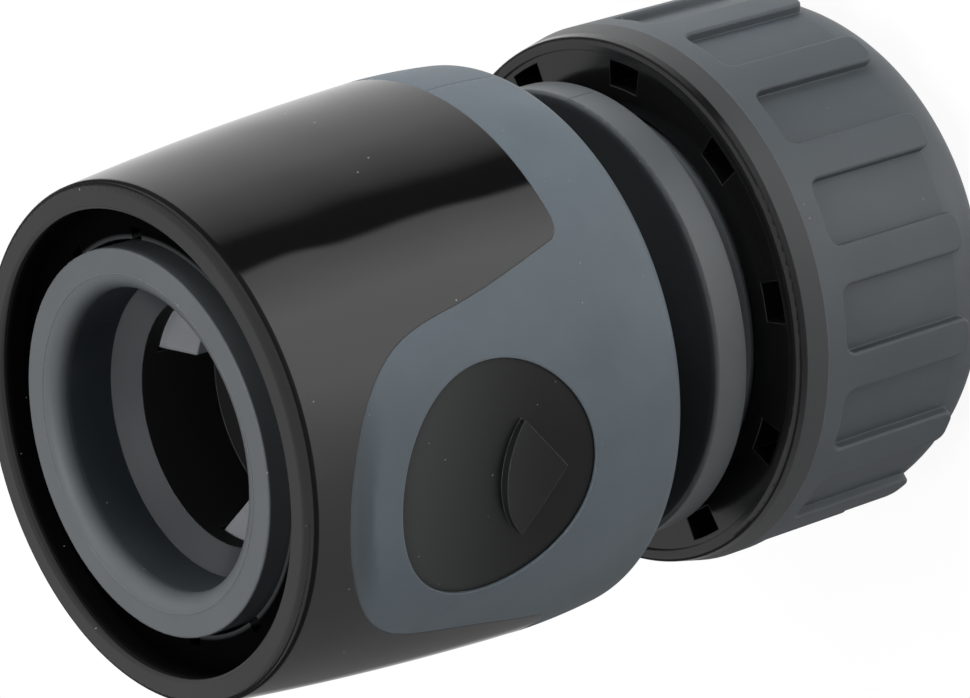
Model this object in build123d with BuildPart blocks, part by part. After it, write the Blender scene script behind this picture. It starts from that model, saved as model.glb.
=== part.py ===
from build123d import *
from math import radians, sin
import os

os.makedirs("parts", exist_ok=True)

# Garden hose quick connector for a 19 mm hose, standing on the rear face of its nut.
# The axis is +Z, with the mouth up. X runs through the two thumb pads. Sizes are in millimetres.
# Every radius is built outward from the bore for the plug's nozzle, wall by wall and gap by gap.

# Lengths that stack up along the axis, from the floor to the rim of the mouth
nut_length = 21.4
nut_to_flange = 2.36
flange_length = 2.8
flange_to_sleeve = 5.54
sleeve_length = 31.9

# Clearances between pieces that move past each other
guide_clearance = 0.25
moving_clearance = 0.3
claw_clearance = 0.15
seat_clearance = 0.4
snap_clearance = 0.1
thread_clearance = 0.35

# Socket of the inner body, from the seal bore out to the nose
seal_bore_radius = 6.6
seal_lead_in = 2.35
seal_lead_in_length = 1.2
mouth_step = 1.73
mouth_step_length = 1.35
mouth_bore_depth = 5.5
mouth_flare = 1.19
nose_wall = 1.73
nose_recess = 0.5
nose_edge_fillet = 0.15
flow_bore_step = 0.6

# Locking claws in their windows
claw_count = 3
claw_azimuth = 34.0
claw_set_back = 1.35
claw_length = 3.8
claw_width = 4.0
claw_reach = 1.55
claw_tip_flat = 1.6
claw_lift = 1.6
claw_ear_width = 7.0
claw_ear_height = 1.4
claw_ledge_play = 0.1
claw_edge_fillet = 0.35
claw_section_wall = 2.4
claw_section_rear_wall = 1.2

# Barrel, spring seat, neck and flange of the inner body
barrel_wall = 2.3
barrel_rib_count = 6
barrel_rib_width = 1.6
seat_overlap = 2.4
seat_thickness = 1.7
seal_bore_past_seat = 2.0
neck_wall = 5.0
neck_fillet = 0.6
flange_width = 2.17
flange_fillet = 0.3

# Hose tail and threaded sleeve of the inner body
tail_bore_step = 0.6
tail_wall = 1.95
tail_end_height = 4.0
tail_end_taper = 0.55
tail_end_taper_length = 1.0
barb_count = 4
barb_rise = 0.6
barb_length = 2.6
hose_wall = 3.45
hose_gap_floor = 0.6
thread_wall = 1.4
thread_reach = 8.4
relief_depth = 0.5
relief_length = 1.9

# Pull-back sleeve, inside
sleeve_travel = 4.5
rim_gap = 2.8
rim_edge_chamfer = 0.2
ring_recess = 2.25
ring_thickness = 1.0
ring_groove = 0.5
land_length = 1.4
skirt_step = 0.1

# Pull-back sleeve, outside
mouth_wall = 1.8
mouth_edge_fillet = 0.6
sleeve_middle_swell = 1.38
sleeve_middle_share = 0.44
skirt_wall = 3.18
sleeve_widest_height = 6.4
rear_tuck = 0.4
rear_edge_fillet = 1.3

# Soft grip on the sleeve
grip_depth = 1.2
grip_wrap = 1.1
collar_length = 7.3
collar_corner_fillet = 1.3
lobe_front_depth = 3.35
lobe_shoulder_depth = 8.9
lobe_shoulder_half_width = 10.4
lobe_waist_depth = 14.5
lobe_waist_half_width = 11.9
lobe_root_half_width = 14.2

# Thumb pads and the arrow raised on them
pad_half_width = 8.45
pad_half_length = 8.0
pad_centre_depth = 15.45
pad_recess = 0.2
arrow_half_width = 4.2
arrow_bow = 1.85
arrow_tail_depth = 17.4
arrow_length = 3.7
arrow_tail_rise = 0.65
arrow_tip_rise = 0.05

# Front guide ring with its snap tabs
ring_turn = 29.0
ring_tab_half_angle = 15.5
ring_slot_width = 1.1
ring_slot_depth = 0.8

# Return spring
spring_wire = 1.2
spring_turns = 5.0

# Clamp ring with its split fingers
clamp_gap = 0.3
clamp_base_length = 2.0
finger_count = 10
finger_slot_width = 2.0
finger_thickening = 0.5
finger_tooth = 0.5
finger_tooth_length = 1.6
finger_tooth_flat = 0.4
finger_end_gap = 0.6

# Nut core
nut_wall = 3.45
nut_rim_step = 0.55
nut_rim_width = 0.85
nut_rim_fillet = 0.45
nut_web_recess = 0.25
nut_band_length = 2.5
hose_entry_gap = 0.1
hose_entry_length = 2.6
cone_end_step = 0.65
cone_end_gap = 0.5
nut_foot_width = 2.4
window_count = 10
window_first_angle = 18.0
window_inner_wall = 1.35
window_outer_wall = 0.2
window_angle = 9.8
window_depth = 3.6

# Soft grip on the nut
grip_skin = 0.9
rib_height = 0.7
grip_band_length = 1.9
rib_count = 16
rib_width = 2.9
rib_end_height = 4.9
rib_corner_fillet = 0.9
grip_shoulder_height = 5.6
grip_round_drop = 0.95
grip_round_height = 2.6
grip_foot_skin = 0.2
grip_edge_fillet = 0.25

# Heights above the floor, worked out from the stack of lengths
flange_rear_z = nut_length + nut_to_flange
flange_front_z = flange_rear_z + flange_length
sleeve_rear_z = flange_front_z + flange_to_sleeve
rim_z = sleeve_rear_z + sleeve_length
seat_front_z = sleeve_rear_z + seat_overlap
thread_end_z = nut_length - thread_reach
clamp_front_z = thread_end_z - clamp_gap
cone_start_z = clamp_front_z - clamp_base_length
cone_end_z = hose_entry_length + cone_end_gap
finger_end_z = cone_end_z + finger_end_gap
band_rear_z = nut_length - nut_band_length

# Depths behind the rim
claw_front_depth = mouth_bore_depth + mouth_step_length + claw_set_back
claw_rear_depth = claw_front_depth + claw_length
seal_bore_depth = claw_rear_depth + claw_section_wall
claw_section_end = seal_bore_depth + claw_section_rear_wall
collar_depth = sleeve_length - collar_length
sleeve_middle_depth = sleeve_length * sleeve_middle_share

# Radii from the seal bore outward
claw_bore_radius = seal_bore_radius + seal_lead_in
mouth_bore_radius = claw_bore_radius + mouth_step
flare_radius = mouth_bore_radius + mouth_flare
nose_radius = flare_radius + nose_wall
ring_bore_radius = nose_radius + guide_clearance
rim_bore_radius = nose_radius + rim_gap
chamber_radius = rim_bore_radius + ring_groove
skirt_bore_radius = chamber_radius + skirt_step
seat_radius = skirt_bore_radius - seat_clearance
spring_radius = (nose_radius + skirt_bore_radius) / 2
sleeve_mouth_radius = rim_bore_radius + mouth_wall
sleeve_middle_radius = sleeve_mouth_radius + sleeve_middle_swell
sleeve_widest_radius = skirt_bore_radius + skirt_wall
sleeve_rear_radius = sleeve_widest_radius - rear_tuck
barrel_radius = seal_bore_radius + barrel_wall
flow_bore_radius = seal_bore_radius - flow_bore_step
neck_radius = flow_bore_radius + neck_wall
claw_tip_radius = claw_bore_radius - claw_reach
claw_ear_radius = nose_radius - claw_ear_height

# Radii from the hose tail outward
tail_bore_radius = seal_bore_radius + tail_bore_step
tail_root_radius = tail_bore_radius + tail_wall
tail_crest_radius = tail_root_radius + barb_rise
hose_gap_radius = tail_crest_radius + hose_wall
thread_radius = hose_gap_radius + thread_wall
relief_radius = thread_radius - relief_depth
flange_radius = thread_radius + flange_width
thread_bore_radius = thread_radius + thread_clearance
nut_barrel_radius = thread_bore_radius + nut_wall
grip_base_radius = nut_barrel_radius + grip_skin
grip_top_radius = grip_base_radius + rib_height
nut_rim_radius = grip_top_radius - nut_rim_step
hose_entry_radius = hose_gap_radius + hose_entry_gap
cone_end_radius = hose_entry_radius + cone_end_step
nut_foot_radius = hose_entry_radius + nut_foot_width
finger_bore_radius = hose_gap_radius - finger_thickening

# The sleeve's inner cone drives the claws: pulled back by its travel, it frees them by their lift
cone_slope = claw_lift / sleeve_travel
land_front_depth = claw_rear_depth + guide_clearance
land_rear_depth = land_front_depth + land_length
cone_front_depth = land_front_depth - (chamber_radius - ring_bore_radius) / cone_slope
over_all = 2 * sleeve_widest_radius


def height(depth):
    """Height above the floor of a point that lies `depth` behind the rim of the mouth."""
    return rim_z - depth


def cone_radius(depth):
    """Bore of the sleeve's cone at a depth behind the rim."""
    return ring_bore_radius + cone_slope * (land_front_depth - depth)


def clamp_cone_radius(z):
    """Bore of the nut's clamping cone at a height above the floor."""
    share = (cone_start_z - z) / (cone_start_z - cone_end_z)
    return thread_bore_radius + share * (cone_end_radius - thread_bore_radius)


def sleeve_barrel(inset, rear_inset, mode):
    """Turn the sleeve's outer curve, set in by `inset`, into the part being built."""
    rear_z = sleeve_rear_z + rear_inset
    mouth = (sleeve_mouth_radius - inset, rim_z)
    middle = (sleeve_middle_radius - inset, height(sleeve_middle_depth))
    widest = (sleeve_widest_radius - inset, sleeve_rear_z + sleeve_widest_height)
    rear = (sleeve_rear_radius - inset, rear_z)
    with BuildSketch(Plane.XZ) as section:
        with BuildLine():
            Line((0, rim_z), mouth)
            ThreePointArc(mouth, middle, widest)
            TangentArc(widest, rear, tangent=(0, -1))
            Line(rear, (0, rear_z))
            Line((0, rear_z), (0, rim_z))
        make_face()
    revolve(section.sketch, axis=Axis.Z, mode=mode)


def sleeve_radius(z):
    """Outer radius of the sleeve at a height between its rim and its widest place."""
    mouth = (sleeve_mouth_radius, rim_z)
    middle = (sleeve_middle_radius, height(sleeve_middle_depth))
    widest = (sleeve_widest_radius, sleeve_rear_z + sleeve_widest_height)
    curve = ThreePointArc(mouth, middle, widest, mode=Mode.PRIVATE)
    return curve.arc_center.X + (curve.radius**2 - (z - curve.arc_center.Y) ** 2) ** 0.5


def round_edge(part, radius, z, size):
    """Round the circular edge of that radius at that height."""
    rings = part.edges().filter_by(GeomType.CIRCLE)
    found = [e for e in rings if abs(e.radius - radius) < 0.01 and abs(e.center().Z - z) < 0.01]
    fillet(found, size)


# Full outer form of the sleeve, shared by its hard core and its soft grip
with BuildPart() as sleeve:
    sleeve_barrel(0, 0, Mode.ADD)
    round_edge(sleeve, sleeve_mouth_radius, rim_z, mouth_edge_fillet)
    round_edge(sleeve, sleeve_rear_radius, sleeve_rear_z, rear_edge_fillet)

# Oval prism through both thumb pads
with BuildPart() as pad_ovals:
    with BuildSketch(Plane.YZ):
        with Locations((0, height(pad_centre_depth))):
            Ellipse(pad_half_width, pad_half_length)
    extrude(amount=over_all, both=True)

# Soft grip: a collar round the rear, with a lobe round each thumb pad
with BuildPart() as sleeve_grip:
    add(sleeve.part)
    sleeve_barrel(grip_depth, grip_wrap, Mode.SUBTRACT)
    with BuildSketch(Plane.YZ) as grip_outline:
        with BuildLine():
            collar_z = height(collar_depth)
            below_z = sleeve_rear_z - grip_wrap
            Spline(
                (-lobe_root_half_width, collar_z),
                (-lobe_waist_half_width, height(lobe_waist_depth)),
                (-lobe_shoulder_half_width, height(lobe_shoulder_depth)),
                (0, height(lobe_front_depth)),
                (lobe_shoulder_half_width, height(lobe_shoulder_depth)),
                (lobe_waist_half_width, height(lobe_waist_depth)),
                (lobe_root_half_width, collar_z),
                tangents=[(0.22, 1), (0.22, -1)],
            )
            Polyline(
                (lobe_root_half_width, collar_z),
                (over_all, collar_z),
                (over_all, below_z),
                (-over_all, below_z),
                (-over_all, collar_z),
                (-lobe_root_half_width, collar_z),
            )
        make_face()
        roots = [v for v in grip_outline.vertices() if abs(v.Z - collar_z) < 0.01
                 and abs(abs(v.Y) - lobe_root_half_width) < 0.01]
        if not roots:
            roots = [v for v in grip_outline.vertices() if abs(v.Y - collar_z) < 0.01
                     and abs(abs(v.X) - lobe_root_half_width) < 0.01]
        fillet(roots, collar_corner_fillet)
    extrude(amount=over_all, both=True, mode=Mode.INTERSECT)
    add(pad_ovals.part, mode=Mode.SUBTRACT)
    with BuildSketch(Plane.XY.offset(below_z)):
        Circle(skirt_bore_radius)
    extrude(amount=sleeve_length, mode=Mode.SUBTRACT)
sleeve_grip.part.label = "sleeve_grip"
export_step(sleeve_grip.part, "parts/sleeve_grip.step")

# What is cut away over each thumb pad, so that the pad lies a little below the grip
with BuildPart() as pad_relief:
    add(pad_ovals.part)
    sleeve_barrel(pad_recess, 0, Mode.SUBTRACT)

# Arrow raised on each pad for the thumb: a bowed face to the mouth, and a top that falls to the point
with BuildPart() as arrows:
    arrow_front_z = height(arrow_tail_depth - arrow_bow)
    arrow_tip_z = height(arrow_tail_depth + arrow_length)
    with BuildSketch(Plane.YZ):
        with BuildLine():
            tail_z = height(arrow_tail_depth)
            ThreePointArc((-arrow_half_width, tail_z), (0, arrow_front_z), (arrow_half_width, tail_z))
            Polyline((arrow_half_width, tail_z), (0, arrow_tip_z), (-arrow_half_width, tail_z))
        make_face()
    extrude(amount=over_all, both=True)
    with BuildSketch(Plane.XZ):
        with BuildLine():
            arrow_root_radius = (skirt_bore_radius + sleeve_middle_radius) / 2
            Polyline(
                (arrow_root_radius, arrow_front_z),
                (sleeve_radius(arrow_front_z) - pad_recess + arrow_tail_rise, arrow_front_z),
                (sleeve_radius(arrow_tip_z) - pad_recess + arrow_tip_rise, arrow_tip_z),
                (arrow_root_radius, arrow_tip_z),
                close=True,
            )
        make_face()
    revolve(axis=Axis.Z, mode=Mode.INTERSECT)

# Hard core of the sleeve: rim, snap groove, claw cone, land for the spring, and skirt
with BuildPart() as sleeve_core:
    add(sleeve.part)
    with BuildSketch(Plane.XZ):
        with BuildLine():
            Polyline(
                (0, rim_z),
                (rim_bore_radius + rim_edge_chamfer, rim_z),
                (rim_bore_radius, rim_z - rim_edge_chamfer),
                (rim_bore_radius, height(ring_recess)),
                (chamber_radius, height(ring_recess)),
                (chamber_radius, height(cone_front_depth)),
                (ring_bore_radius, height(land_front_depth)),
                (ring_bore_radius, height(land_rear_depth)),
                (skirt_bore_radius, height(land_rear_depth)),
                (skirt_bore_radius, sleeve_rear_z),
                (0, sleeve_rear_z),
                close=True,
            )
        make_face()
    revolve(axis=Axis.Z, mode=Mode.SUBTRACT)
    add(sleeve_grip.part, mode=Mode.SUBTRACT)
    add(pad_relief.part, mode=Mode.SUBTRACT)
    add(arrows.part)
sleeve_core.part.label = "sleeve_core"
export_step(sleeve_core.part, "parts/sleeve_core.step")

# Guide ring snapped in behind the rim, with narrow slots beside its two spring tabs
with BuildPart() as front_ring:
    with BuildSketch(Plane.XY.offset(height(ring_recess))):
        Circle(chamber_radius - snap_clearance)
        Circle(ring_bore_radius, mode=Mode.SUBTRACT)
        for side in (90, -90):
            for edge in (-ring_tab_half_angle, ring_tab_half_angle):
                with PolarLocations(ring_bore_radius, 1, start_angle=ring_turn + side + edge):
                    Rectangle(2 * ring_slot_depth, ring_slot_width, mode=Mode.SUBTRACT)
    extrude(amount=-ring_thickness)
front_ring.part.label = "front_ring"
export_step(front_ring.part, "parts/front_ring.step")

# Inner body: socket, claw section, ribbed barrel, spring seat, flange, thread and hose tail
with BuildPart() as inner_body:
    nose_z = height(nose_recess)
    seal_end_z = seat_front_z + seal_bore_past_seat
    with BuildSketch(Plane.XZ):
        with BuildLine():
            barbs_z = tail_end_height + tail_end_taper_length
            barb_points = [(tail_root_radius, barbs_z + barb_count * barb_length)]
            for barb in reversed(range(barb_count)):
                barb_z = barbs_z + barb * barb_length
                barb_points += [(tail_crest_radius, barb_z + barb_length), (tail_root_radius, barb_z)]
            Polyline(
                (mouth_bore_radius, nose_z),
                (nose_radius, nose_z),
                (nose_radius, height(claw_section_end)),
                (barrel_radius, height(claw_section_end)),
                (barrel_radius, seat_front_z),
                (seat_radius, seat_front_z),
                (seat_radius, seat_front_z - seat_thickness),
                (neck_radius, seat_front_z - seat_thickness),
                (neck_radius, flange_front_z),
                (flange_radius, flange_front_z),
                (flange_radius, flange_rear_z),
                (relief_radius, flange_rear_z),
                (relief_radius, flange_rear_z - relief_length),
                (thread_radius, flange_rear_z - relief_length - relief_depth),
                (thread_radius, thread_end_z),
                (hose_gap_radius, thread_end_z),
                (hose_gap_radius, nut_length - hose_gap_floor),
                (tail_root_radius, nut_length - hose_gap_floor),
                *barb_points,
                (tail_root_radius - tail_end_taper, tail_end_height),
                (tail_bore_radius, tail_end_height),
                (tail_bore_radius, flange_rear_z),
                (flow_bore_radius, flange_front_z),
                (flow_bore_radius, seal_end_z),
                (seal_bore_radius, seal_end_z),
                (seal_bore_radius, height(seal_bore_depth)),
                (claw_bore_radius, height(seal_bore_depth - seal_lead_in_length)),
                (claw_bore_radius, height(mouth_bore_depth + mouth_step_length)),
                (mouth_bore_radius, height(mouth_bore_depth)),
                close=True,
            )
        make_face()
    revolve(axis=Axis.Z)
    round_edge(inner_body, nose_radius, nose_z, nose_edge_fillet)
    round_edge(inner_body, mouth_bore_radius, nose_z, mouth_flare)
    round_edge(inner_body, flange_radius, flange_front_z, flange_fillet)
    round_edge(inner_body, neck_radius, flange_front_z, neck_fillet)
    # Ribs along the barrel keep the spring central
    rib_inner_radius = (seal_bore_radius + barrel_radius) / 2
    with BuildSketch(Plane.XY.offset(seat_front_z)):
        with PolarLocations(0, barrel_rib_count, start_angle=claw_azimuth):
            with Locations(((nose_radius + rib_inner_radius) / 2, 0)):
                Rectangle(nose_radius - rib_inner_radius, barrel_rib_width)
    extrude(amount=height(claw_section_end) - seat_front_z)
    # Window and stepped pocket for each claw
    ledge_radius = claw_ear_radius - claw_ledge_play
    with BuildSketch(Plane.XY.offset(height(claw_rear_depth + claw_clearance))):
        with PolarLocations(0, claw_count, start_angle=claw_azimuth):
            with Locations(((claw_tip_radius + nose_radius) / 2, 0)):
                Rectangle(nose_radius - claw_tip_radius + 2 * claw_reach, claw_width + 2 * claw_clearance)
            with Locations((ledge_radius + claw_ear_height, 0)):
                Rectangle(2 * claw_ear_height, claw_ear_width + 2 * claw_clearance)
    extrude(amount=claw_length + 2 * claw_clearance, mode=Mode.SUBTRACT)
inner_body.part.label = "inner_body"
export_step(inner_body.part, "parts/inner_body.step")

# Locking claws: ramp to the mouth, square locking face behind, ears on the ledge of the window
with BuildPart() as claw_form:
    with BuildSketch(Plane.XZ):
        with BuildLine():
            Polyline(
                (claw_bore_radius, height(claw_front_depth)),
                (cone_radius(claw_front_depth) - moving_clearance, height(claw_front_depth)),
                (cone_radius(claw_rear_depth) - moving_clearance, height(claw_rear_depth)),
                (claw_tip_radius, height(claw_rear_depth)),
                (claw_tip_radius, height(claw_rear_depth - claw_tip_flat)),
                close=True,
            )
        make_face()
    revolve(axis=Axis.Z)
    with BuildSketch(Plane.XY.offset(height(claw_rear_depth))):
        with Locations((nose_radius, 0)):
            Rectangle(2 * nose_radius - claw_tip_radius, claw_width)
        with Locations((claw_ear_radius + nose_radius / 2, 0)):
            Rectangle(nose_radius, claw_ear_width)
    extrude(amount=claw_length, mode=Mode.INTERSECT)
    tip_edges = [e for e in claw_form.edges() if abs(abs(e.center().Y) - claw_width / 2) < 0.01
                 and e.center().X < claw_bore_radius]
    fillet(tip_edges, claw_edge_fillet)

for number in range(claw_count):
    with BuildPart() as claw:
        with PolarLocations(0, 1, start_angle=claw_azimuth + number * 360 / claw_count):
            add(claw_form.part)
    claw.part.label = f"claw_{number + 1}"
    export_step(claw.part, f"parts/claw_{number + 1}.step")

# Return spring between the land of the sleeve and the seat of the body
spring_height = height(land_rear_depth) - seat_front_z - spring_wire
with BuildPart() as return_spring:
    with BuildLine():
        coil = Helix(spring_height / spring_turns, spring_height, spring_radius,
                     center=(0, 0, seat_front_z + spring_wire / 2))
    with BuildSketch(Plane(origin=coil @ 0, z_dir=coil % 0)):
        Circle(spring_wire / 2)
    sweep(is_frenet=True)
return_spring.part.label = "return_spring"
export_step(return_spring.part, "parts/return_spring.step")

# Clamp ring: a base ring that meets the threaded sleeve, and split fingers that follow the cone
with BuildPart() as clamp_ring:
    tooth_z = finger_end_z + finger_tooth_length
    with BuildSketch(Plane.XZ):
        with BuildLine():
            Polyline(
                (hose_gap_radius, clamp_front_z),
                (thread_bore_radius - moving_clearance, clamp_front_z),
                (thread_bore_radius - moving_clearance, cone_start_z),
                (clamp_cone_radius(finger_end_z) - moving_clearance, finger_end_z),
                (finger_bore_radius - finger_tooth, finger_end_z),
                (finger_bore_radius - finger_tooth, finger_end_z + finger_tooth_flat),
                (finger_bore_radius, tooth_z),
                (finger_bore_radius, cone_start_z),
                close=True,
            )
        make_face()
    revolve(axis=Axis.Z)
    with BuildSketch(Plane.XY.offset(finger_end_z)):
        with PolarLocations(hose_gap_radius, finger_count):
            Rectangle(2 * nut_wall, finger_slot_width)
    extrude(amount=cone_start_z - finger_end_z, mode=Mode.SUBTRACT)
clamp_ring.part.label = "clamp_ring"
export_step(clamp_ring.part, "parts/clamp_ring.step")

# Nut core: cored web in front, thread bore, clamping cone and hose entry
foot_corner_z = nut_barrel_radius - nut_foot_radius
with BuildPart() as nut_core:
    with BuildSketch(Plane.XZ):
        with BuildLine():
            web_z = nut_length - nut_web_recess
            Polyline(
                (thread_bore_radius, web_z),
                (nut_rim_radius - nut_rim_width, web_z),
                (nut_rim_radius - nut_rim_width, nut_length),
                (nut_rim_radius, nut_length),
                (grip_top_radius, band_rear_z),
                (nut_barrel_radius, band_rear_z),
                (nut_barrel_radius, grip_shoulder_height),
                (nut_foot_radius, foot_corner_z),
                (nut_foot_radius, 0),
                (hose_entry_radius, 0),
                (hose_entry_radius, hose_entry_length),
                (cone_end_radius, cone_end_z),
                (thread_bore_radius, cone_start_z),
                close=True,
            )
        make_face()
    revolve(axis=Axis.Z)
    round_edge(nut_core, nut_rim_radius, nut_length, nut_rim_fillet)
    with BuildSketch(Plane.XY.offset(nut_length)):
        for number in range(window_count):
            first = window_first_angle + number * 360 / window_count - window_angle / 2
            with BuildLine():
                inner = CenterArc((0, 0), thread_bore_radius + window_inner_wall, first, window_angle)
                outer = CenterArc((0, 0), nut_barrel_radius - window_outer_wall, first, window_angle)
                Line(inner @ 0, outer @ 0)
                Line(inner @ 1, outer @ 1)
            make_face()
    extrude(amount=-window_depth, mode=Mode.SUBTRACT)
nut_core.part.label = "nut_core"
export_step(nut_core.part, "parts/nut_core.step")

# One sector of the raised grip pattern: a stretch of the front band with its rib
with BuildPart() as grip_sector:
    sector_width = 2.2 * grip_top_radius * sin(radians(180 / rib_count))
    with BuildSketch(Plane.YZ.offset(nut_barrel_radius - grip_skin)) as plan:
        with Locations((0, band_rear_z - grip_band_length / 2)):
            Rectangle(sector_width, grip_band_length)
        with Locations((0, (band_rear_z + rib_end_height) / 2)):
            Rectangle(rib_width, band_rear_z - rib_end_height)
        rounded = [v for v in plan.vertices() if abs(abs(v.X) - rib_width / 2) < 0.01
                   or abs(abs(v.Y) - rib_width / 2) < 0.01]
        fillet(rounded, rib_corner_fillet)
    extrude(amount=nut_wall)

# Soft grip over the nut
with BuildPart() as nut_grip:
    with PolarLocations(0, rib_count):
        add(grip_sector.part)
    with BuildSketch(Plane.XY):
        Circle(grip_top_radius)
    extrude(amount=nut_length, mode=Mode.INTERSECT)
    with BuildSketch(Plane.XZ):
        with BuildLine():
            foot = (nut_foot_radius + grip_foot_skin, 0)
            shoulder = (grip_base_radius, grip_shoulder_height)
            Polyline(foot, (0, 0), (0, band_rear_z), (grip_base_radius, band_rear_z), shoulder)
            ThreePointArc(shoulder, (grip_base_radius - grip_round_drop, grip_round_height), foot)
        make_face()
    revolve(axis=Axis.Z)
    rib_edges = [e for e in nut_grip.edges() if e.center().Z < band_rear_z - grip_edge_fillet
                 and abs(Vector(e.center().X, e.center().Y).length - grip_top_radius) < 0.05]
    fillet(rib_edges, grip_edge_fillet)
    with BuildSketch(Plane.XZ):
        with BuildLine():
            Polyline(
                (0, band_rear_z),
                (nut_barrel_radius, band_rear_z),
                (nut_barrel_radius, grip_shoulder_height),
                (nut_foot_radius, foot_corner_z),
                (nut_foot_radius, 0),
                (0, 0),
                close=True,
            )
        make_face()
    revolve(axis=Axis.Z, mode=Mode.SUBTRACT)
nut_grip.part.label = "nut_grip"
export_step(nut_grip.part, "parts/nut_grip.step")
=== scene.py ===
from bisect import bisect
from math import atan2, cos, pi, radians, sin, sqrt

import bmesh
import bpy
from mathutils import Matrix, Vector, geometry
from mathutils.kdtree import KDTree


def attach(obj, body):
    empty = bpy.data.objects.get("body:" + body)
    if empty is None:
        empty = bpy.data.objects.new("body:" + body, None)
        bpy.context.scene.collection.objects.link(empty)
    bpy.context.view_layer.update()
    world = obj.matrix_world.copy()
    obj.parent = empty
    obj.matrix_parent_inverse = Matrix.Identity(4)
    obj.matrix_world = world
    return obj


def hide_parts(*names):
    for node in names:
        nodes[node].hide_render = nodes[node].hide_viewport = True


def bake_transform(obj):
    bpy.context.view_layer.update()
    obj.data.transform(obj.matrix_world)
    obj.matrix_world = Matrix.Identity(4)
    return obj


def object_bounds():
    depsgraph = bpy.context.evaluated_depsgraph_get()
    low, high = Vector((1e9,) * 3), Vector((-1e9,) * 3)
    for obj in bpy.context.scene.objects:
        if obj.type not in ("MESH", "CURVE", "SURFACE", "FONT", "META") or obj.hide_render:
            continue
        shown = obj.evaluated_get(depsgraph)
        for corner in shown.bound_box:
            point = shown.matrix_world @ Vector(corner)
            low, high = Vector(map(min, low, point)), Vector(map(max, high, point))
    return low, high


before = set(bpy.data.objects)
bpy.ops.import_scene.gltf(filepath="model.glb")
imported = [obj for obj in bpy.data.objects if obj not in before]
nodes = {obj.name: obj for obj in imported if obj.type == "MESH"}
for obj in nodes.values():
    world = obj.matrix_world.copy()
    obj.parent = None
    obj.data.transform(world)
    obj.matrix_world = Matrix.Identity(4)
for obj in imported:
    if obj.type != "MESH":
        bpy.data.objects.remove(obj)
cad_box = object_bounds()
mm = 0.001

# The camera stands in front of the mouth and a little above, level with the upper thumb pad,
# as a product photographer sets a long lens on a small fitting. It is held 0.4 m away.
view_right = Vector((0.643786, 0.023737, -0.764838))
view_up = Vector((-0.311790, 0.920921, -0.233862))
view_back = Vector((0.698804, 0.389027, 0.600277))
view_place = Vector((0.26045, 0.14437, 0.25720))
lens_data = bpy.data.cameras.new("long_lens")
lens_data.sensor_width = 36.0
lens_data.lens = 194.74
lens_data.clip_start = 0.02
camera = bpy.data.objects.new("long_lens", lens_data)
view_turn = Matrix((view_right, view_up, view_back)).transposed()
camera.matrix_world = Matrix.Translation(view_place) @ view_turn.to_4x4()
bpy.context.scene.collection.objects.link(camera)
bpy.context.scene.camera = camera
bpy.context.scene.view_settings.view_transform = "Standard"


# The room is a white photo studio. A gloss surface mirrors a bright panel on the right, the narrow
# dark gap beside it, the dark gap over the panels, and pale card behind; everything matt gets an
# even white light.
class Wire:
    """A shader socket that can stand in a Python expression; each operator adds its Math node."""

    def __init__(self, tree, socket):
        self.tree = tree
        self.socket = socket

    def maths(self, operation, first, second):
        node = self.tree.nodes.new("ShaderNodeMath")
        node.operation = operation
        for place, value in enumerate((first, second)):
            if isinstance(value, Wire):
                self.tree.links.new(value.socket, node.inputs[place])
            else:
                node.inputs[place].default_value = value
        return Wire(self.tree, node.outputs[0])

    def __add__(self, other):
        return self.maths("ADD", self, other)

    __radd__ = __add__

    def __sub__(self, other):
        return self.maths("SUBTRACT", self, other)

    def __rsub__(self, other):
        return self.maths("SUBTRACT", other, self)

    def __mul__(self, other):
        return self.maths("MULTIPLY", self, other)

    __rmul__ = __mul__

    def __truediv__(self, other):
        return self.maths("DIVIDE", self, other)

    def __pow__(self, other):
        return self.maths("POWER", self, other)

    def __gt__(self, other):
        return self.maths("GREATER_THAN", self, other)

    def __lt__(self, other):
        return self.maths("LESS_THAN", self, other)


class Finish:
    """The node tree of a material or of the room; `node` adds any node and returns its output."""

    def __init__(self, owner):
        self.owner = owner
        owner.use_nodes = True
        self.tree = owner.node_tree
        self.tree.nodes.clear()

    def node(self, kind, settings=None, values=None, out=0):
        made = self.tree.nodes.new(kind)
        for name, value in (settings or {}).items():
            if name == "stops":
                ramp = made.color_ramp
                while len(ramp.elements) < len(value):
                    ramp.elements.new(0.5)
                for element, (place, shade) in zip(ramp.elements, value):
                    element.position = place
                    element.color = (shade, shade, shade, 1.0)
            else:
                setattr(made, name, value)
        for name, value in (values or {}).items():
            socket = made.inputs[name]
            if isinstance(value, Wire):
                self.tree.links.new(value.socket, socket)
            elif isinstance(value, tuple) and len(socket.default_value) == 4:
                socket.default_value = (*value, 1.0)
            else:
                socket.default_value = value
        return Wire(self.tree, made.outputs[out]) if made.outputs else None

    def axis(self, vector, name):
        """One coordinate of a vector."""
        return self.node("ShaderNodeSeparateXYZ", {}, {0: vector}, out=name)

    def mix(self, share, first, second):
        """The second colour laid over the first by a share from 0 to 1."""
        return self.node("ShaderNodeMix", {"data_type": "RGBA"}, {0: share, 6: first, 7: second}, out=2)

    def step(self, value, low, high):
        """0 below the low value, 1 above the high one, and a soft change between."""
        return self.node("ShaderNodeMapRange", {"interpolation_type": "SMOOTHSTEP"},
                         {"Value": value, "From Min": low, "From Max": high})


def heading(degrees):
    """Place on the ramp round the room of a direction seen from above."""
    return degrees / 360 + 0.5


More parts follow.
